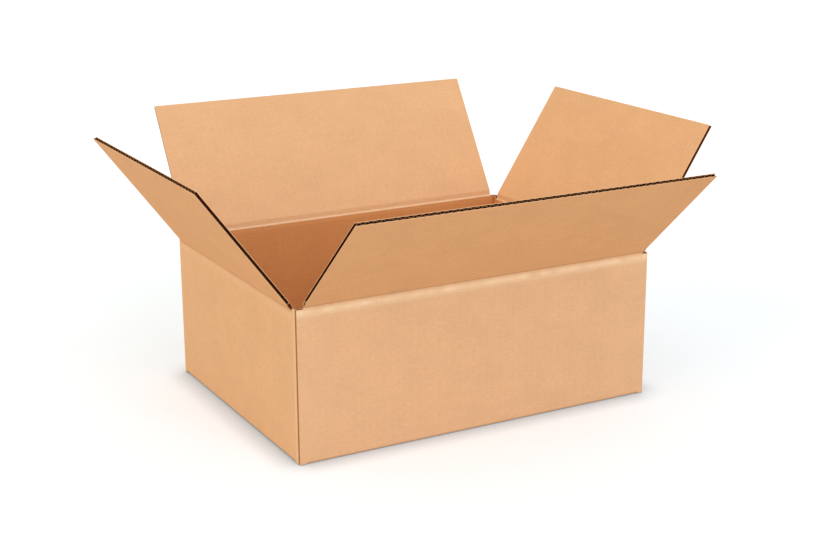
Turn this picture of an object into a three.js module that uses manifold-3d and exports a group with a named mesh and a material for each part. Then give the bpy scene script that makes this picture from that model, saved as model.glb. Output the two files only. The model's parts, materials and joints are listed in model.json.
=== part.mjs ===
// A slotted carton folded from one sheet of corrugated board, with its four top flaps open.
// Millimetres, +Z up. The origin is the middle of the base, the long walls face -Y and +Y.
import * as THREE from "three";
import { mergeGeometries, mergeVertices } from "three/addons/utils/BufferGeometryUtils.js";
import Module from "manifold-3d";

const wasm = await Module();
wasm.setup();

// The inside of the carton, and the height of the long walls up to their fold
const insideLength = 406.4;
const insideWidth = 304.8;
const foldHeight = 160;

// The board: two flat liners glued to a wavy medium, whose flutes run up the walls
const boardThickness = 3.8;
const linerThickness = 0.5;
const mediumThickness = 0.45;
const flutePitch = 7.95;

// Folds and cuts
const cornerRadius = 3.4; // outside of a fold
const creaseReach = 7; // how far the crushed board thins towards a top fold
const creaseEdge = 0.15; // thickness left at the fold, its outer liner
const creaseGap = 0.5; // between a wall's top edge and its flap's foot
const lapClearance = 0.3; // between the long and the short flaps when closed
const slotInset = 8.2; // from a corner to the side edge of the flap beside it
const slotDepth = 1.5; // a top slot's floor below the long flaps' fold
const slotFoot = 0.6; // a bottom slot's roof above the base
const meetingGap = 2.8; // between the long top flaps when closed
const seamGap = 1.2; // between the long bottom flaps
const jointInset = 1.2; // from the left wall to the front wall's raw edge
const jointChannel = 2.6; // depth of the flute that the raw edge lays open
const tabWidth = 34; // the glue tab inside the front wall
const tabDrop = 8.5; // its top corner below the long flaps' fold
const tabTaper = 9; // what each end of it loses by its free edge
const tabBevel = 1.5; // its free edge is pressed thin

const outerLength = insideLength + 2 * boardThickness;
const outerWidth = insideWidth + 2 * boardThickness;
const shortFoldHeight = foldHeight - boardThickness - lapClearance;
const flapLength = (outerWidth - meetingGap) / 2;
const bottomFlapLength = (outerWidth - seamGap) / 2;
const beyond = 2; // how far a cutter reaches past what it cuts

const kraft = (color) =>
  new THREE.MeshStandardMaterial({ color, roughness: 0.9, metalness: 0 });

// Each side is drawn as the front wall is: x along it, y inwards from its outer face, z up.
// Its turn is in quarters, and its flap leans outwards from upright, in degrees.
const sides = {
  front: { turn: 0, lean: 47.3, run: outerLength, halfDepth: outerWidth / 2 },
  right: { turn: 1, lean: 32.9, run: outerWidth, halfDepth: outerLength / 2 },
  back: { turn: 2, lean: 32.4, run: outerLength, halfDepth: outerWidth / 2 },
  left: { turn: 3, lean: 36.7, run: outerWidth, halfDepth: outerLength / 2 },
};
const longSides = [sides.front, sides.back];
const shortSides = [sides.left, sides.right];

function toSolid(geometry) {
  const bare = geometry.clone();
  bare.deleteAttribute("normal");
  bare.deleteAttribute("uv");
  const merged = mergeVertices(bare, 1e-4);
  return new wasm.Manifold(
    new wasm.Mesh({
      numProp: 3,
      vertProperties: merged.attributes.position.array,
      triVerts: new Uint32Array(merged.index.array),
    }),
  );
}

function toGeometry(solid) {
  const { vertProperties, triVerts } = solid.getMesh();
  const geometry = new THREE.BufferGeometry();
  geometry.setAttribute("position", new THREE.BufferAttribute(vertProperties, 3));
  geometry.setIndex(new THREE.BufferAttribute(triVerts, 1));
  const flat = geometry.toNonIndexed();
  flat.computeVertexNormals();
  return flat;
}

function extrude(shape, depth, curveSegments = 4) {
  return new THREE.ExtrudeGeometry(shape, { depth, bevelEnabled: false, curveSegments });
}

// A box between two corners
function block(low, high) {
  const size = high.map((value, axis) => value - low[axis]);
  const middle = high.map((value, axis) => (value + low[axis]) / 2);
  return new THREE.BoxGeometry(...size).translate(...middle);
}

function polygon(points) {
  return new THREE.Shape(points.map(([x, y]) => new THREE.Vector2(x, y)));
}

// A wall's section, y inwards and z up, run out along x and centred
function alongWall(section, length) {
  const geometry = extrude(section, length).translate(0, 0, -length / 2);
  const inwards = new THREE.Vector3(0, 1, 0);
  const up = new THREE.Vector3(0, 0, 1);
  const along = new THREE.Vector3(1, 0, 0);
  return geometry.applyMatrix4(new THREE.Matrix4().makeBasis(inwards, up, along));
}

// Moves what was drawn as the front wall to its own side, by whole quarter turns
function ontoSide(geometry, side) {
  const cos = [1, 0, -1, 0][side.turn];
  const sin = [0, 1, 0, -1][side.turn];
  const place = new THREE.Matrix4().set(
    cos, -sin, 0, sin * side.halfDepth,
    sin, cos, 0, -cos * side.halfDepth,
    0, 0, 1, 0,
    0, 0, 0, 1,
  );
  return geometry.applyMatrix4(place);
}

const flapWidth = (side) => side.run - 2 * slotInset;
const foldOf = (side) => (longSides.includes(side) ? foldHeight : shortFoldHeight);

// The plan of the four walls: rounded folds at three corners, and at the front left the left
// wall turning in behind the front wall's raw edge as the glue tab
function wallPlan() {
  const halfLength = outerLength / 2;
  const halfWidth = outerWidth / 2;
  const radius = cornerRadius;
  const rawEdge = -halfLength + jointInset;
  const channelEdge = rawEdge + jointChannel;
  const tabOuter = -halfWidth + boardThickness;
  const tabInner = tabOuter + boardThickness;
  const tabEnd = -halfLength + boardThickness + tabWidth;

  const plan = new THREE.Shape();
  plan.moveTo(rawEdge, -halfWidth);
  plan.lineTo(halfLength - radius, -halfWidth);
  plan.absarc(halfLength - radius, -halfWidth + radius, radius, -Math.PI / 2, 0);
  plan.absarc(halfLength - radius, halfWidth - radius, radius, 0, Math.PI / 2);
  plan.absarc(-halfLength + radius, halfWidth - radius, radius, Math.PI / 2, Math.PI);
  plan.absarc(-halfLength + radius, tabOuter + radius, radius, Math.PI, 1.5 * Math.PI);
  plan.lineTo(rawEdge, tabOuter);
  plan.lineTo(rawEdge, tabOuter - linerThickness);
  plan.lineTo(channelEdge, tabOuter - linerThickness);
  plan.lineTo(rawEdge, -halfWidth + linerThickness + mediumThickness);
  plan.closePath();

  const inside = new THREE.Path();
  inside.moveTo(-halfLength + boardThickness, tabInner);
  inside.lineTo(tabEnd - tabBevel, tabInner);
  inside.lineTo(tabEnd, tabOuter);
  inside.lineTo(halfLength - boardThickness, tabOuter);
  inside.lineTo(halfLength - boardThickness, halfWidth - boardThickness);
  inside.lineTo(-halfLength + boardThickness, halfWidth - boardThickness);
  inside.closePath();
  plan.holes.push(inside);
  return plan;
}

// What comes off above a wall's fold and inside its crushed crease
function creaseCutter(side) {
  const top = foldOf(side) - creaseGap / 2;
  const section = new THREE.Shape();
  section.moveTo(boardThickness + beyond, foldOf(side) - creaseReach);
  section.lineTo(boardThickness, foldOf(side) - creaseReach);
  section.quadraticCurveTo(boardThickness, foldOf(side) - boardThickness, creaseEdge, top);
  section.lineTo(-beyond, top);
  section.lineTo(-beyond, foldHeight + beyond);
  section.lineTo(boardThickness + beyond, foldHeight + beyond);
  section.closePath();
  return toSolid(ontoSide(alongWall(section, flapWidth(side)), side));
}

// What comes off outside a bottom fold, whose flap's lower face is at height
function bottomFoldCutter(side, height) {
  const section = new THREE.Shape();
  section.moveTo(-beyond, -beyond);
  section.lineTo(cornerRadius, -beyond);
  section.lineTo(cornerRadius, height);
  section.absarc(cornerRadius, height + cornerRadius, cornerRadius, 1.5 * Math.PI, Math.PI, true);
  section.lineTo(-beyond, height + cornerRadius);
  section.closePath();
  return toSolid(ontoSide(alongWall(section, flapWidth(side)), side));
}

function bottomFlap(side, height) {
  const half = flapWidth(side) / 2;
  const plate = block([-half, 0, height], [half, bottomFlapLength, height + boardThickness]);
  return toSolid(ontoSide(plate, side));
}

// The flutes of a short bottom flap, which end in the open edge that shows inside the carton
function bottomFlutes(side, height) {
  const hollows = flutes(flapWidth(side), slotInset, bottomFlapLength + beyond);
  hollows.rotateX(-Math.PI / 2).translate(0, 0, height + boardThickness);
  return toSolid(ontoSide(hollows, side));
}

// One hollow between the medium and a liner, as seen at a cut across the flutes
function fluteSection(middle, pitch, facesInside) {
  const swing = (boardThickness - 2 * linerThickness - mediumThickness) / 2;
  const wave = (offset) => {
    const turn = (2 * Math.PI * offset) / pitch;
    const slope = ((2 * Math.PI * swing) / pitch) * Math.sin(turn);
    const skin = (mediumThickness / 2) * Math.hypot(1, slope);
    return boardThickness / 2 - swing * Math.cos(turn) + skin;
  };
  const atLiner = pitch * 0.36;
  const onSlope = pitch * 0.17;
  const points = [
    [-atLiner, boardThickness - linerThickness],
    [-onSlope, wave(onSlope)],
    [0, wave(0)],
    [onSlope, wave(onSlope)],
    [atLiner, boardThickness - linerThickness],
  ];
  return polygon(points.map(([x, y]) => [middle + x, facesInside ? y : boardThickness - y]));
}

// The flutes of a board that is cut straight across them at height to, and run up from height
// from. The cuts along its two sides lay a flute open.
function flutes(width, from, to) {
  const count = Math.round(width / flutePitch);
  const pitch = width / count;
  const hollows = [];
  for (let half = 0; half <= 2 * count; half++) {
    const section = fluteSection((half * pitch - width) / 2, pitch, half % 2 === 0);
    hollows.push(extrude(section, to - from).translate(0, 0, from));
  }
  return mergeGeometries(hollows);
}

// A top flap, upright, its hinge line at the origin: crushed thin at the foot, where its flutes
// end blind, and open along its free edge
function topFlap(side) {
  const section = new THREE.Shape();
  section.moveTo(0, creaseGap / 2);
  section.lineTo(creaseEdge, creaseGap / 2);
  section.quadraticCurveTo(boardThickness, boardThickness, boardThickness, creaseReach);
  section.lineTo(boardThickness, flapLength);
  section.lineTo(0, flapLength);
  section.closePath();
  const board = toSolid(alongWall(section, flapWidth(side)));
  return board.subtract(toSolid(flutes(flapWidth(side), creaseReach, flapLength + beyond)));
}

function cartonBody() {
  const halfLength = outerLength / 2;
  const halfWidth = outerWidth / 2;
  const wallTop = foldHeight - creaseGap / 2;
  const postTop = foldHeight - slotDepth;
  const walls = extrude(wallPlan(), wallTop - slotFoot).translate(0, 0, slotFoot);
  let body = toSolid(walls);

  for (const side of shortSides) {
    const half = flapWidth(side) / 2;
    const under = block([-half, -beyond, -beyond], [half, slotInset - lapClearance, boardThickness]);
    body = body.subtract(toSolid(ontoSide(under, side)));
    body = body.add(bottomFlap(side, boardThickness));
    body = body.subtract(bottomFlutes(side, boardThickness));
    body = body.subtract(bottomFoldCutter(side, boardThickness));
  }
  for (const side of longSides) {
    body = body.add(bottomFlap(side, 0));
    body = body.subtract(bottomFoldCutter(side, 0));
  }
  for (const side of Object.values(sides)) body = body.subtract(creaseCutter(side));

  for (const x of [-1, 1])
    for (const y of [-1, 1]) {
      const near = [x * (halfLength - slotInset), y * (halfWidth - slotInset)];
      const far = [x * (halfLength + beyond), y * (halfWidth + beyond)];
      const low = [Math.min(near[0], far[0]), Math.min(near[1], far[1]), postTop];
      const high = [Math.max(near[0], far[0]), Math.max(near[1], far[1]), foldHeight + beyond];
      body = body.subtract(toSolid(block(low, high)));
    }
  for (const cutter of tabCutters()) body = body.subtract(cutter);
  return body;
}

// The slanted ends of the glue tab
function tabCutters() {
  const start = -outerLength / 2 + boardThickness;
  const end = start + tabWidth + beyond;
  const tabOuter = -outerWidth / 2 + boardThickness;
  const taper = (tabTaper * (end - start)) / tabWidth;
  const upper = polygon([
    [start, foldHeight - tabDrop],
    [end, foldHeight - tabDrop - taper],
    [end, foldHeight + beyond],
    [start, foldHeight + beyond],
  ]);
  const lower = polygon([
    [start, boardThickness],
    [end, boardThickness],
    [end, boardThickness + taper],
  ]);
  return [upper, lower].map((shape) => {
    const geometry = extrude(shape, boardThickness + beyond);
    const along = new THREE.Vector3(1, 0, 0);
    const up = new THREE.Vector3(0, 0, 1);
    const outwards = new THREE.Vector3(0, -1, 0);
    geometry.applyMatrix4(new THREE.Matrix4().makeBasis(along, up, outwards));
    return toSolid(geometry.translate(0, tabOuter + boardThickness + beyond, 0));
  });
}

// A flap hung on its fold and leaning outwards
function hang(name, side, color) {
  const flap = new THREE.Mesh(toGeometry(topFlap(side)), kraft(color));
  flap.name = name;
  flap.rotation.x = THREE.MathUtils.degToRad(side.lean);
  const fold = new THREE.Group();
  const turn = (side.turn * Math.PI) / 2;
  fold.position.set(Math.sin(turn) * side.halfDepth, -Math.cos(turn) * side.halfDepth, foldOf(side));
  fold.rotation.z = turn;
  fold.add(flap);
  return fold;
}

const carton = new THREE.Group();
const body = new THREE.Mesh(toGeometry(cartonBody()), kraft(0xdcae82));
body.name = "carton_body";
carton.add(body);
carton.add(hang("front_flap", sides.front, 0xcf9564));
carton.add(hang("back_flap", sides.back, 0xe0ae80));
carton.add(hang("left_flap", sides.left, 0xd8a06c));
carton.add(hang("right_flap", sides.right, 0xdea56a));

export default carton;
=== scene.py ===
import json
import math

import bmesh
import bpy
from mathutils import Matrix, Vector, noise
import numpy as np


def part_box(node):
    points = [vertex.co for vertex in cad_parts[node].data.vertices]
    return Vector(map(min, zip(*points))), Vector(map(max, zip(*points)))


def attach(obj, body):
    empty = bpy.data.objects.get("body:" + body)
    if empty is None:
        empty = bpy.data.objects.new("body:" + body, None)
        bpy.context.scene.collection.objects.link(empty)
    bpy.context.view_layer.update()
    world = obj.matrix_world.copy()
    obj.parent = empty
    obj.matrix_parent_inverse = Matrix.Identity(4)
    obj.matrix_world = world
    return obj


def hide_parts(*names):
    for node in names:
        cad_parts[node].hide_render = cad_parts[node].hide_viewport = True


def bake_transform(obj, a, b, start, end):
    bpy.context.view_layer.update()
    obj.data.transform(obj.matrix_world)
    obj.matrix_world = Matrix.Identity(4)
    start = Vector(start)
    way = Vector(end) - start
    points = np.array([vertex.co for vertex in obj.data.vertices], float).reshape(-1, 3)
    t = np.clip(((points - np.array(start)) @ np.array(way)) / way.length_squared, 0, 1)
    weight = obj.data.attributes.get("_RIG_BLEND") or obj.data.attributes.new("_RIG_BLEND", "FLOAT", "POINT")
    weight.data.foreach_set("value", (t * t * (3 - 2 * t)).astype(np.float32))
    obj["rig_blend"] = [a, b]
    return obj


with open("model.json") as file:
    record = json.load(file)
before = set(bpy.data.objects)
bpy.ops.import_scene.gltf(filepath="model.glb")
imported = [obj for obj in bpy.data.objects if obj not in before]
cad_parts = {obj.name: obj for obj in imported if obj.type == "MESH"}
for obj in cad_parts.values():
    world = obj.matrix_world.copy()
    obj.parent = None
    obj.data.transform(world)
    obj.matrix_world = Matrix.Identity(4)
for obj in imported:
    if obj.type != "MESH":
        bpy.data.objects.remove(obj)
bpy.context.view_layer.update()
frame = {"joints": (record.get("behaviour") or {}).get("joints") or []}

# Corrugated board, in metres. It's drawn flat first: x runs across the flutes, y in from the outer
# face and z along the flutes
board = {
    "thickness": 0.0038,
    "liner": 0.00045,
    "medium": 0.00033,
    "pitch": 0.00795,
    "steps": 12,  # straight steps in one wave of the medium
    "wobble": 0.00012,  # the medium isn't quite even
    "wobbleAlong": 3,  # and drifts this much more along the sheet than through it
    "wobbleScale": 90,
    "wobbleSeed": 50,
}
nearby = 1e-5  # places closer than this are taken as one

# What the flat sheet is folded to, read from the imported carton
shellLow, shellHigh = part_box("carton_body")
flapLow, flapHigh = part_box("front_flap")
joints = {joint["name"]: joint for joint in frame["joints"]}
outerLength = shellHigh.x - shellLow.x
outerWidth = shellHigh.y - shellLow.y
slotInset = (outerLength - (flapHigh.x - flapLow.x)) / 2

# The base is the height of the bottom flap's underside, and highlightStrength is how strong the painted
# highlight just below the fold is on that side
longBase, endBase = 0.0, board["thickness"]
sides = {
    "front": {"turn": 0, "run": outerLength, "half": outerWidth / 2, "base": longBase, "highlightStrength": 1.5},
    "right": {"turn": 1, "run": outerWidth, "half": outerLength / 2, "base": endBase, "highlightStrength": 0.3},
    "back": {"turn": 2, "run": outerLength, "half": outerWidth / 2, "base": longBase, "highlightStrength": 1.0},
    "left": {"turn": 3, "run": outerWidth, "half": outerLength / 2, "base": endBase, "highlightStrength": 0.3},
}
along = 0.0
for sideName, side in sides.items():
    joint = joints[sideName + "_fold"]
    side["fold"] = joint["pos_m"][2]
    side["lean"] = math.radians(-joint["range_deg"][0] - 90)  # closed is 90 degrees inwards
    side["flap"] = side["run"] - 2 * slotInset
    side["sheet"] = along + side["run"] / 2  # its middle, along the flat sheet
    along += side["run"]
flapLength = (-sides["front"]["half"] - flapLow.y) / math.sin(sides["front"]["lean"])


def linear(red, green, blue):
    channels = [c / 255 for c in (red, green, blue)]
    return tuple(c / 12.92 if c < 0.04045 else ((c + 0.055) / 1.055) ** 2.4 for c in channels)


def ease(t):
    t = min(1.0, max(0.0, t))
    return t * t * (3 - 2 * t)


def bell(offset, width):
    return math.exp(-((offset / width) ** 2))


def meshOf(name, bm):
    mesh = bpy.data.meshes.new(name)
    bm.to_mesh(mesh)
    bm.free()
    return mesh


def newObject(name, data):
    made = bpy.data.objects.new(name, data)
    bpy.context.scene.collection.objects.link(made)
    return made


# Materials

def addNode(tree, kind, links=(), **settings):
    made = tree.nodes.new(kind)
    for name, value in settings.items():
        setattr(made, name, value)
    for socket, value in links:
        if isinstance(value, bpy.types.NodeSocket):
            tree.links.new(value, made.inputs[socket])
        else:
            made.inputs[socket].default_value = value
    return made


def combine(tree, operation, first, second):
    links = ((0, first), (1, second))
    return addNode(tree, "ShaderNodeMath", links, operation=operation).outputs[0]


def scaled(tree, colour, amount):
    links = ((0, colour), ("Scale", amount))
    return addNode(tree, "ShaderNodeVectorMath", links, operation="SCALE").outputs[0]


def mixed(tree, factor, first, second):
    links = (("Factor", factor), (6, first), (7, second))
    return addNode(tree, "ShaderNodeMix", links, data_type="RGBA", clamp_factor=True).outputs[2]


def patternOn(tree, place, pattern):
    stretch = (pattern["stretch"], 1, 1)
    links = (("Vector", place), ("Scale", stretch))
    mapping = addNode(tree, "ShaderNodeMapping", links).outputs[0]
    scale, detail = pattern["scale"], pattern["detail"]
    links = (("Vector", mapping), ("Scale", scale), ("Detail", detail), ("Roughness", 0.6))
    return addNode(tree, "ShaderNodeTexNoise", links).outputs["Fac"]


def newMaterial(name, roughness, gloss):
    material = bpy.data.materials.new(name)
    material.use_nodes = True
    shader = material.node_tree.nodes["Principled BSDF"]
    shader.inputs["Roughness"].default_value = roughness
    shader.inputs["Specular IOR Level"].default_value = gloss
    return material, material.node_tree, shader


# The liners, with patterns that follow the flat sheet
paper = {
    "outer": linear(224, 179, 139),
    "flap": linear(222, 172, 129),  # the outside of the flaps, darker and redder than the walls: painted shade of their undersides
    "inner": linear(227, 179, 133),
    "shaded": linear(210, 147, 90),  # the same liner, darker and redder where it lines the walls: painted shade of the box's inside
    "pale": linear(246, 216, 180),  # flecks, and the painted highlight along folds and corners
    "mottle": {"stretch": 1, "scale": 22, "detail": 3, "strength": 0.15},
    "streak": {"stretch": 0.3, "scale": 130, "detail": 3, "strength": 0.1},
    "fibre": {"stretch": 0.25, "scale": 700, "detail": 4, "strength": 0.3},
    "fleck": {"stretch": 0.35, "scale": 1500, "detail": 1, "above": 0.66, "strength": 3.0},
    "grain": {"stretch": 0.6, "scale": 2600, "detail": 2, "height": 0.35},
    "flute": {"strength": 0.005, "height": 0.18},
    "foldHighlight": 0.5,
    "foldShade": 0.25,
    "bump": 0.6,
    "bumpDepth": 0.00006,
    "roughness": 0.86,
    "gloss": 0.25,
}


def kraftPaper(name, colour):
    material, tree, shader = newMaterial(name, paper["roughness"], paper["gloss"])
    sheet = addNode(tree, "ShaderNodeUVMap", uv_map="sheet").outputs[0]
    across = addNode(tree, "ShaderNodeSeparateXYZ", ((0, sheet),)).outputs[0]
    waves = combine(tree, "MULTIPLY", across, 2 * math.pi / board["pitch"])
    flutes = combine(tree, "SINE", waves, 0)
    # The crease layer: above zero a painted highlight, below zero painted shade
    paintedLight = addNode(tree, "ShaderNodeAttribute", attribute_name="crease").outputs["Fac"]

    shade = 1.0
    for pattern in (paper["mottle"], paper["streak"], paper["fibre"]):
        level = combine(tree, "SUBTRACT", patternOn(tree, sheet, pattern), 0.5)
        shade = combine(tree, "ADD", shade, combine(tree, "MULTIPLY", level, pattern["strength"]))
    flute = paper["flute"]
    shade = combine(tree, "ADD", shade, combine(tree, "MULTIPLY", flutes, flute["strength"]))
    # Painted shade in the folds
    dark = combine(tree, "MULTIPLY", combine(tree, "MINIMUM", paintedLight, 0.0), paper["foldShade"])
    shade = combine(tree, "ADD", shade, dark)

    fleck = paper["fleck"]
    flecks = combine(tree, "SUBTRACT", patternOn(tree, sheet, fleck), fleck["above"])
    flecks = combine(tree, "MULTIPLY", flecks, fleck["strength"])
    # Painted highlight along folds and corners, added to the paper's flecks
    highlight = combine(tree, "MULTIPLY", combine(tree, "MAXIMUM", paintedLight, 0.0), paper["foldHighlight"])
    pale = combine(tree, "ADD", combine(tree, "MAXIMUM", flecks, 0.0), highlight)
    look = mixed(tree, pale, scaled(tree, colour, shade), (*paper["pale"], 1))
    tree.links.new(look, shader.inputs["Base Color"])

    grain = paper["grain"]
    height = combine(tree, "MULTIPLY", patternOn(tree, sheet, grain), grain["height"])
    height = combine(tree, "ADD", height, combine(tree, "MULTIPLY", flutes, flute["height"]))
    links = (("Height", height), ("Strength", paper["bump"]), ("Distance", paper["bumpDepth"]))
    tree.links.new(addNode(tree, "ShaderNodeBump", links).outputs[0], shader.inputs["Normal"])
    return material


# What shows where the board is cut
cuts = {
    # Dark brown for the medium and the liners' faces inside the board: painted shade in the flutes
    "core": linear(84, 40, 20),
    "cut": linear(232, 186, 142),
    "crushed": linear(196, 138, 92),
    "coreSpecks": {"stretch": 1, "scale": 700, "detail": 2, "depth": 0.35},
    "cutSpecks": {"stretch": 1, "scale": 900, "detail": 2, "depth": 0.25},
    "crushedSpecks": {"stretch": 1, "scale": 1100, "detail": 2, "depth": 0.4},
    "roughness": 0.95,
    "gloss": 0.1,
}


def cutPaper(name, colour, specks):
    material, tree, shader = newMaterial(name, cuts["roughness"], cuts["gloss"])
    place = addNode(tree, "ShaderNodeTexCoord").outputs["Object"]
    shade = combine(tree, "MULTIPLY", patternOn(tree, place, specks), 2 * specks["depth"])
    shade = combine(tree, "ADD", shade, 1 - specks["depth"])
    tree.links.new(scaled(tree, colour, shade), shader.inputs["Base Color"])
    return material


outerSkin, flapShadeSkin, innerSkin, shadedSkin, coreShadeSkin, cutSkin, crushedSkin = range(7)
paperSkins = [
    kraftPaper("kraftOutside", paper["outer"]),
    kraftPaper("kraftFlapOutsidePaintedShade", paper["flap"]),
    kraftPaper("kraftInside", paper["inner"]),
    kraftPaper("kraftWallInsidePaintedShade", paper["shaded"]),
    cutPaper("flutedCorePaintedShade", cuts["core"], cuts["coreSpecks"]),
    cutPaper("cutPaper", cuts["cut"], cuts["cutSpecks"]),
    cutPaper("crushedPaper", cuts["crushed"], cuts["crushedSpecks"]),
]
print("materials made")


# Flat board

def spread(bm, low, high):
    for axis in range(3):
        values = [vert.co[axis] for vert in bm.verts]
        least, most = min(values), max(values)
        if most - least < nearby:
            continue
        for vert in bm.verts:
            share = (vert.co[axis] - least) / (most - least)
            vert.co[axis] = low[axis] + share * (high[axis] - low[axis])


def cutAcross(bm, axis, places):
    for place in places:
        point, normal = Vector((0, 0, 0)), Vector((0, 0, 0))
        point[axis], normal[axis] = place, 1
        geometry = bm.verts[:] + bm.edges[:] + bm.faces[:]
        bmesh.ops.bisect_plane(bm, geom=geometry, plane_co=point, plane_no=normal)


def slab(xs, ys, zs, outwards, inwards, rim=cutSkin):
    bm = bmesh.new()
    bmesh.ops.create_cube(bm, size=1)
    spread(bm, (xs[0], ys[0], zs[0]), (xs[-1], ys[-1], zs[-1]))
    cutAcross(bm, 0, xs[1:-1])
    cutAcross(bm, 2, zs[1:-1])
    bm.normal_update()
    for face in bm.faces:
        face.material_index = rim
        if abs(face.normal.y) > 0.5:
            face.material_index = outwards if face.normal.y < 0 else inwards
    return bm


# Solidify leaves its points and faces in another order each run
def inOrder(bm):
    along = Vector((1, 0.1, 0.01))
    bm.verts.sort(key=lambda vert: vert.co.dot(along))
    bm.edges.sort(key=lambda edge: (edge.verts[0].co + edge.verts[1].co).dot(along))
    bm.faces.sort(key=lambda face: face.calc_center_median().dot(along))


# The wavy paper between the liners
def medium(x0, x1, z0, z1, pitch):
    middle = board["thickness"] / 2
    swing = middle - board["liner"] - board["medium"] / 2
    bm = bmesh.new()
    steps = max(2, round((x1 - x0) / pitch * board["steps"]))
    bmesh.ops.create_grid(bm, x_segments=steps, y_segments=1, size=1)
    bmesh.ops.rotate(bm, matrix=Matrix.Rotation(math.pi / 2, 3, "X"), verts=bm.verts)
    spread(bm, (x0, 0, z0), (x1, 0, z1))
    for vert in bm.verts:
        place = Vector((vert.co.x * board["wobbleScale"], x0 * board["wobbleSeed"], 1))
        drift = noise.noise(place) * board["wobble"]
        turn = 2 * math.pi * (vert.co.x + drift * board["wobbleAlong"] - x0) / pitch
        vert.co.y = middle - (swing - abs(drift)) * math.cos(turn)
    bmesh.ops.solidify(bm, geom=bm.faces[:], thickness=board["medium"])
    inOrder(bm)
    depths = [vert.co.y for vert in bm.verts]
    bmesh.ops.translate(bm, vec=(0, middle - (min(depths) + max(depths)) / 2, 0), verts=bm.verts)
    bm.normal_update()
    for face in bm.faces:
        # The medium takes the dark core colour, painted shade in the flutes, and its cut ends the crushed
        # colour
        face.material_index = crushedSkin if abs(face.normal.z) > 0.9 else coreShadeSkin
    return bm


# Where each part lies on the flat sheet. The crease layer holds painted light along folds and corners:
# above zero a painted highlight, below zero painted shade
def layOut(bm, sheetX, sheetZ):
    layer = bm.loops.layers.uv.new("sheet")
    if not bm.verts.layers.float:
        bm.verts.layers.float.new("crease")
    for face in bm.faces:
        for loop in face.loops:
            loop[layer].uv = (sheetX + loop.vert.co.x, sheetZ + loop.vert.co.z)


def joined(parts):
    whole = bmesh.new()
    for part in parts:
        mesh = meshOf("part", part)
        whole.from_mesh(mesh)
        bpy.data.meshes.remove(mesh)
    return whole


def flatBoard(
    xs, zs, sheetX, sheetZ=0.0, pitch=board["pitch"], facing=outerSkin, lining=shadedSkin
):
    t, liner = board["thickness"], board["liner"]
    parts = [
        slab(xs, (0, liner), zs, facing, coreShadeSkin),
        slab(xs, (t - liner, t), zs, coreShadeSkin, lining),
        medium(xs[0], xs[-1], zs[0], zs[-1], pitch),
    ]
    for part in parts:
        layOut(part, sheetX, sheetZ)
    return joined(parts)


# An edge cut along a flute that the knife has pressed shut, between two places across the flutes
def pressedEdge(x0, x1, zs, skin, sheetX):
    liner = board["liner"]
    bm = slab([x0, x1], (liner, board["thickness"] - liner), zs, skin, skin, rim=skin)
    layOut(bm, sheetX, 0)
    return bm


def flapEdges(side):
    return [-side["flap"] / 2, side["flap"] / 2]


# A whole number of flutes, so that both side edges lay one open
def flapPitch(side):
    return side["flap"] / round(side["flap"] / board["pitch"])


def faceOutwards(bm):
    bm.normal_update()
    bmesh.ops.recalc_face_normals(bm, faces=bm.faces)


def reshape(bm, rule):
    for vert in bm.verts:
        vert.co = rule(*vert.co)
    faceOutwards(bm)


def finishPiece(name, bm):
    piece = newObject(name, meshOf(name, bm))
    for skin in paperSkins:
        piece.data.materials.append(skin)
    return piece


def ontoSide(side):
    turn = Matrix.Rotation(side["turn"] * math.pi / 2, 4, "Z")
    return turn @ Matrix.Translation((0, -side["half"], 0))


def ontoFlap(side):
    lean = Matrix.Rotation(side["lean"], 4, "X")
    return ontoSide(side) @ Matrix.Translation((0, 0, side["fold"])) @ lean


# Folded carton

shell = {
    "cornerRadius": 0.0034,
    "squeeze": 0.8,  # the board is thinner round a corner
    "relax": 0.0045,  # and is back to its thickness this far past it
    "cornerHighlight": 0.25,  # how strong the painted highlight along a folded corner is
    "jointHighlight": 0.7,
    "cornerHighlightWidth": 0.002,
    "postTop": sides["front"]["fold"] - 0.0015,
    "postFoot": 0.0006,
    "rowHeight": 0.003,
    "rows": (12, 9, 6, 4, 3, 2, 1),  # cuts across the liners, counted down from the top
    "bottomFlap": (outerWidth - 0.0012) / 2,
    "bottomSheet": -0.3,  # where the bottom flaps lie on the flat sheet
    "jointInset": 0.0012,  # the front wall's raw edge, from the left wall
    "rawEdge": (0.0004, 0.0011),  # where that edge is pressed shut
    "tabStep": 0.0004,  # the glue tab is cut back from here
    "tabFoot": 0.001,
    "tabWidth": 0.034,
    "tabDrop": 0.0085,
    "tabTaper": 0.009,
}
halfArc = math.pi * shell["cornerRadius"] / 4  # of a corner, along the sheet
cornerReach = slotInset - shell["cornerRadius"] + halfArc


# A corner folded by a quarter turn, between an outer face along +p and one along +q
def roundCorner(s, depth, relax=shell["relax"]):
    radius = shell["cornerRadius"]
    past = abs(s) - halfArc
    if past <= 0:
        turn = math.radians(225 - 45 * s / halfArc)
        reach = radius - depth * shell["squeeze"]
        return radius + reach * math.cos(turn), radius + reach * math.sin(turn)
    thin = depth * (shell["squeeze"] + (1 - shell["squeeze"]) * ease(past / relax))
    return (thin, radius + past) if s > 0 else (radius + past, thin)


def cornerCuts(low, high):
    arc = [halfArc * k / 4 for k in range(-4, 5)]
    relaxed = [way * (halfArc + shell["relax"] * k / 4) for way in (-1, 1) for k in (1, 2, 3)]
    return [low, *sorted(s for s in arc + relaxed if low + nearby < s < high - nearby), high]


# A painted highlight along the rounded fold of a corner
def highlightCorner(bm, strength):
    paintedLight = bm.verts.layers.float["crease"]
    for vert in bm.verts:
        if vert.co.y < board["liner"]:
            vert[paintedLight] = strength * bell(vert.co.x, shell["cornerHighlightWidth"])


# How strong the painted highlight on the wall's liner is, this far below the fold
def wallHighlight(side, below):
    peak = bell(below - crease["highlight"], crease["highlightWidth"])
    return side["highlightStrength"] * (peak + crease["highlightTail"] * math.exp(-below / crease["highlightReach"]))


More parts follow.
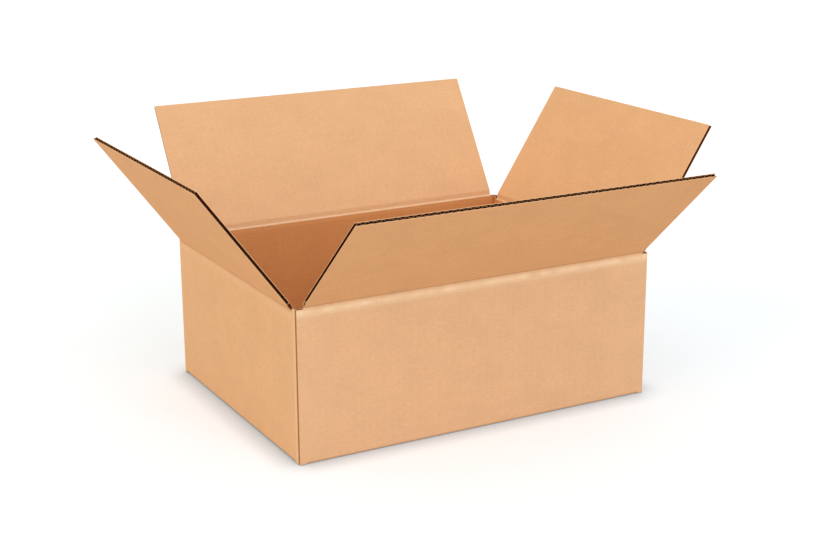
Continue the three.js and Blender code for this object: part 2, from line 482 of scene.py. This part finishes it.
# Over a corner the first side's painted highlight passes into the second's
def highlightWall(bm, first, second):
    paintedLight = bm.verts.layers.float["crease"]
    for vert in bm.verts:
        if vert.co.y < board["liner"]:
            share = ease(0.5 + vert.co.x / shell["cornerRadius"])
            pale = [wallHighlight(side, side["fold"] - vert.co.z) for side in (first, second)]
            vert[paintedLight] = max(vert[paintedLight], pale[0] + share * (pale[1] - pale[0]))


def wallRows(low, high):
    return [low, *(high - shell["rowHeight"] * k for k in shell["rows"]), high]


def wallPanel(side):
    low, high = min(side["base"], shell["postFoot"]) + slotInset, side["fold"] - crease["reach"]
    bm = flatBoard(flapEdges(side), wallRows(low, high), side["sheet"])
    highlightWall(bm, side, side)
    bm.transform(ontoSide(side))
    return bm


def cornerPost(first, second):
    zs = wallRows(shell["postFoot"], shell["postTop"])
    bm = flatBoard(cornerCuts(-cornerReach, cornerReach), zs, first["sheet"] + first["run"] / 2)
    highlightCorner(bm, shell["cornerHighlight"])
    highlightWall(bm, first, second)
    reshape(bm, lambda x, y, z: Vector((*roundCorner(x, y), z)))
    # p runs back along the first side and q along the second
    bm.transform(Matrix(((-1, 0, 0, first["run"] / 2), (0, 1, 0, 0), (0, 0, 1, 0), (0, 0, 0, 1))))
    bm.transform(ontoSide(first))
    faceOutwards(bm)
    return bm


# At the front left the left wall turns in behind the front wall as the glue tab
def gluedJoint():
    radius, t = shell["cornerRadius"], board["thickness"]
    front, left = sides["front"], sides["left"]
    onWall = halfArc + slotInset - t - radius
    tabEnd = -halfArc - (t + shell["tabWidth"] - radius)
    step = -halfArc - shell["tabStep"]
    xs = sorted(cornerCuts(tabEnd, onWall) + [step])
    bm = flatBoard(xs, (0, 1), left["sheet"] + left["run"] / 2)

    def cutTo(s, z):
        low, high = shell["postFoot"], shell["postTop"]
        if s <= step + nearby:
            share = (s - step) / (tabEnd - step)
            low = t + shell["tabFoot"] + shell["tabTaper"] * share
            high = front["fold"] - shell["tabDrop"] - shell["tabTaper"] * share
        return low + z * (high - low)

    def fold(s, depth, z):
        p, q = roundCorner(s, depth, relax=slotInset - t - radius if s > 0 else shell["relax"])
        return Vector((-outerLength / 2 + p, -outerWidth / 2 + t + q, cutTo(s, z)))

    highlightCorner(bm, shell["jointHighlight"])
    reshape(bm, fold)
    return bm


def rawEdge():
    front = sides["front"]
    start = -front["run"] / 2 + shell["jointInset"]
    pressed = [start + inset for inset in shell["rawEdge"]]
    zs = wallRows(shell["postFoot"], shell["postTop"])
    wall = flatBoard([start, -front["run"] / 2 + slotInset], zs, front["sheet"])
    highlightWall(wall, front, front)
    bm = joined([wall, pressedEdge(*pressed, zs, crushedSkin, front["sheet"])])
    bm.transform(ontoSide(front))
    return bm


# A short wall stands on the floor too, and its flap rises from there onto the long ones
def bottomFold(side):
    foot = min(side["base"], shell["postFoot"])
    xs, zs = flapEdges(side), cornerCuts(-cornerReach, cornerReach)
    t, liner = board["thickness"], board["liner"]
    parts = [
        slab(xs, (0, liner), zs, outerSkin, coreShadeSkin),
        slab(xs, (t - liner, t), zs, coreShadeSkin, shadedSkin),
    ]
    for part in parts:
        layOut(part, side["sheet"], side["base"])
    bm = joined(parts)

    def fold(x, depth, s):
        inwards, up = roundCorner(s, depth)
        rise = ease(-s / cornerReach) * (side["base"] - foot)
        return Vector((x, inwards, foot + rise + up))

    reshape(bm, fold)
    bm.transform(ontoSide(side))
    return bm


def bottomFlap(side):
    xs, zs = flapEdges(side), (slotInset, shell["bottomFlap"])
    bm = flatBoard(xs, zs, side["sheet"], shell["bottomSheet"], flapPitch(side))
    reshape(bm, lambda x, depth, z: Vector((x, z, side["base"] + depth)))
    bm.transform(ontoSide(side))
    return bm


def makeShell():
    order = list(sides.values())
    parts = [wallPanel(side) for side in order]
    parts += [cornerPost(order[k], order[k + 1]) for k in range(3)]
    parts += [gluedJoint(), rawEdge()]
    parts += [bottomFold(side) for side in order] + [bottomFlap(side) for side in order]
    piece = finishPiece("folded_carton", joined(parts))
    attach(piece, "carton")
    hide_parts("carton_body")
    print("carton folded,", len(piece.data.polygons), "faces")


# Top flaps

flap = {
    "pressed": ("back",),  # whose side edges are pressed shut
    "edge": (0.0002, 0.001),  # how far in, across the flutes
}


def makeFlap(name, side):
    xs, zs = flapEdges(side), (crease["reach"], flapLength)
    pitch = flapPitch(side)
    # The flap's outside takes the darker flap colour, painted shade of its underside
    bm = flatBoard(xs, zs, side["sheet"], side["fold"], pitch, flapShadeSkin, innerSkin)
    if name in flap["pressed"]:
        near, far = flap["edge"]
        ends = [(xs[0] + near, xs[0] + far), (xs[1] - far, xs[1] - near)]
        bm = joined([bm, *(pressedEdge(*end, zs, cutSkin, side["sheet"]) for end in ends)])
    bm.transform(ontoFlap(side))
    piece = finishPiece(name + "_flap_board", bm)
    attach(piece, name + "_flap")
    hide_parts(name + "_flap")


# Creases: the crushed board between a wall and its flap, which bends with the flap

crease = {
    "reach": 0.008,  # the strip of crushed board, each way from the fold
    "bend": 0.0036,  # the part of it that turns
    "flapFoot": 0.0046,  # how far the flap's inside dips towards the fold
    "wallHead": 0.0072,  # and the wall's, half of it in a step at the fold
    "wallStep": 0.0019,
    "core": 0.0021,  # board left at the fold
    "score": 0.00025,  # how deep the scoring wheel marks the outside
    "scoreWidth": 0.0012,
    "steps": [0.0003, 0.0008, 0.0014, 0.0021, 0.0029, 0.0036, 0.0046, 0.0060],
    "length": 0.006,  # of one piece along the fold
    "unevenness": 0.00022,
    "unevenAlong": 160,
    "unevenAcross": 300,
    "highlight": 0.0052,  # the painted highlight on the wall's outside is strongest this far below the fold
    "highlightWidth": 0.0034,
    "highlightTail": 0.3,
    "highlightReach": 0.011,
    "patchy": (0.8, 0.5, 90, 7),  # the painted highlight varies at random: middle, swing, scale and seed
    "insideHighlight": (1.4, 0.0011, 0.0007),  # painted highlight under the fold on the inside: strength, place and width
    "outsideShade": (0.8, 0.0016),  # painted shade in the fold on the outside: strength and width
    "endRim": 0.8,  # of a liner
    "endDepth": 0.0015,
}


def crushBoard(bm, side):
    t = board["thickness"]
    paintedLight = bm.verts.layers.float.new("crease")
    middle, swing, scale, seed = crease["patchy"]
    lineHighlight, place, width = crease["insideHighlight"]
    lineShade, spreading = crease["outsideShade"]
    for vert in bm.verts:
        x, y, z = vert.co
        patchy = middle + swing * noise.noise(Vector((x * scale, seed, z * scale)))
        if y > t / 2:
            dip = 1 - ease(z / crease["flapFoot"])
            if z < 0:
                dip = 1 - (ease(-z / crease["wallHead"]) + ease(-z / crease["wallStep"])) / 2
            ripple = Vector((x * crease["unevenAlong"], z * crease["unevenAcross"], side["turn"]))
            uneven = noise.noise(ripple) * crease["unevenness"]
            vert.co.y = t - (t - crease["core"]) * dip + uneven * math.sin(math.pi * dip)
            # Painted highlight along the inside of the fold
            vert[paintedLight] = lineHighlight * patchy * bell(z + place, width)
        else:
            vert.co.y = crease["score"] * bell(z, crease["scoreWidth"])
            # The wall's painted highlight carries on up the crease, and the fold itself gets painted shade
            vert[paintedLight] = wallHighlight(side, -z) * patchy if z < 0 else 0
            vert[paintedLight] -= lineShade * bell(z, spreading)


def makeCrease(name, side):
    half, reach, steps = side["flap"] / 2, crease["reach"], crease["steps"]
    count = round(side["flap"] / crease["length"])
    xs = [-half + side["flap"] * k / count for k in range(count + 1)]
    zs = [-reach, *[-z for z in reversed(steps)], 0.0, *steps, reach]
    bm = slab(xs, (0, board["thickness"]), zs, flapShadeSkin, innerSkin)
    crushBoard(bm, side)
    layOut(bm, side["sheet"], side["fold"])
    for face in bm.faces:
        z = face.calc_center_median().z
        if face.material_index == flapShadeSkin and z < 0:
            face.material_index = outerSkin
        # Below the step the inside takes the painted shade of the walls' inside
        if face.material_index == innerSkin and z < -crease["wallStep"]:
            face.material_index = shadedSkin

    rim = board["liner"] * crease["endRim"]
    for end in (-half, half):
        faces = [
            face for face in bm.faces
            if all(abs(vert.co.x - end) < nearby for vert in face.verts)
        ]
        bmesh.ops.inset_region(bm, faces=faces, thickness=rim, depth=-crease["endDepth"])
        # The pressed ends take the dark core colour: painted shade
        for face in faces:
            face.material_index = coreShadeSkin

    def bend(x, y, z):
        turn = side["lean"] * ease((z + crease["bend"]) / (2 * crease["bend"]))
        return Vector((
            x,
            y * math.cos(turn) - z * math.sin(turn),
            y * math.sin(turn) + z * math.cos(turn),
        ))

    reshape(bm, bend)
    bm.transform(ontoSide(side) @ Matrix.Translation((0, 0, side["fold"])))
    piece = finishPiece(name + "_crease", bm)
    start = ontoSide(side) @ Vector((0, 0, side["fold"] - crease["bend"]))
    end = ontoFlap(side) @ Vector((0, 0, crease["bend"]))
    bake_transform(piece, "carton", name + "_flap", start=start, end=end)


makeShell()
for sideName, side in sides.items():
    makeFlap(sideName, side)
    makeCrease(sideName, side)
print("flaps and creases made")


# Floor and light

studio = {
    "floorSize": 60.0,
    "floor": (0.86, 0.7, 0.64),
    "glow": (0.18, 0.38, 0.455),  # brings the floor to white, and keeps the shadow grey
    "bounce": (0.84, 0.76, 0.61),  # what the floor sends up to the carton
    "contact": 0.03,  # width of the narrow shadow along the carton's foot
    "contactDepth": 0.72,
    "sky": 0.83,
    "front": {"from": (0.25, -1.6, 1.0), "strength": 0.74, "color": (0.91, 1.03, 1.2)},
    "left": {"from": (-1.6, -0.25, 1.0), "strength": 0.66, "color": (1.05, 0.86, 0.5)},
    "spread": math.radians(35),
}


# Camera, mirror and glass rays all see the white background
def seenWhite(tree):
    path = addNode(tree, "ShaderNodeLightPath")
    glossy = combine(tree, "MAXIMUM", path.outputs["Is Camera Ray"], path.outputs["Is Glossy Ray"])
    return combine(tree, "MAXIMUM", glossy, path.outputs["Is Transmission Ray"])


def paleFloor():
    material, tree, shader = newMaterial("paleFloor", 1.0, 0.0)
    seen = seenWhite(tree)
    # The ambient occlusion darkens the floor near the carton: a painted contact shadow
    links = (("Distance", studio["contact"]),)
    foot = addNode(tree, "ShaderNodeAmbientOcclusion", links).outputs["AO"]
    depth = studio["contactDepth"]
    near = combine(tree, "ADD", combine(tree, "MULTIPLY", foot, depth), 1 - depth)
    pale = scaled(tree, studio["floor"], near)
    tint = mixed(tree, seen, (*studio["bounce"], 1), pale)
    tree.links.new(tint, shader.inputs["Base Color"])
    level = combine(tree, "MULTIPLY", seen, near)
    links = (("Color", (*studio["glow"], 1)), ("Strength", level))
    glow = addNode(tree, "ShaderNodeEmission", links).outputs[0]
    both = addNode(tree, "ShaderNodeAddShader", ((0, shader.outputs[0]), (1, glow))).outputs[0]
    tree.links.new(both, tree.nodes["Material Output"].inputs["Surface"])
    return material


def makeFloor():
    bm = bmesh.new()
    bmesh.ops.create_grid(bm, x_segments=1, y_segments=1, size=studio["floorSize"] / 2)
    floor = newObject("studioFloor", meshOf("studioFloor", bm))
    floor.data.materials.append(paleFloor())


def makeSky():
    world = bpy.data.worlds.new("studioSky")
    world.use_nodes = True
    tree = world.node_tree
    sky = studio["sky"]
    level = combine(tree, "ADD", combine(tree, "MULTIPLY", seenWhite(tree), 1 - sky), sky)
    tree.links.new(level, tree.nodes["Background"].inputs["Strength"])
    tree.nodes["Background"].inputs["Color"].default_value = (1, 1, 1, 1)
    bpy.context.scene.world = world


def makeLamp(name, lamp):
    light = bpy.data.lights.new(name, "SUN")
    light.angle = studio["spread"]
    light.energy = lamp["strength"]
    light.color = lamp["color"]
    holder = newObject(name, light)
    holder.location = lamp["from"]
    holder.rotation_euler = Vector(lamp["from"]).to_track_quat("Z", "Y").to_euler()


# Camera

camera = {
    "azimuth": math.radians(-28.65),
    "elevation": math.radians(16.17),
    "roll": math.radians(-0.26),
    "distance": 1.6814,
    "target": Vector((0.0036, 0, 0.1281)),
    "lens": 66.98,
    "sensor": 36,
}


def makeCamera():
    data = bpy.data.cameras.new("photoCamera")
    data.lens = camera["lens"]
    data.sensor_width = camera["sensor"]
    azimuth, elevation = camera["azimuth"], camera["elevation"]
    level = math.cos(elevation)
    back = Vector((math.sin(azimuth) * level, -math.cos(azimuth) * level, math.sin(elevation)))
    right = Vector((0, 0, 1)).cross(back).normalized()
    turn = Matrix((right, back.cross(right), back)).transposed()
    turn = turn @ Matrix.Rotation(camera["roll"], 3, "Z")
    place = Matrix.Translation(camera["target"] + back * camera["distance"])
    holder = newObject("photoCamera", data)
    holder.matrix_world = place @ turn.to_4x4()
    bpy.context.scene.camera = holder


makeFloor()
makeSky()
makeLamp("frontLamp", studio["front"])
makeLamp("leftLamp", studio["left"])
makeCamera()
bpy.context.scene.view_settings.view_transform = "Standard"
print("studio set")
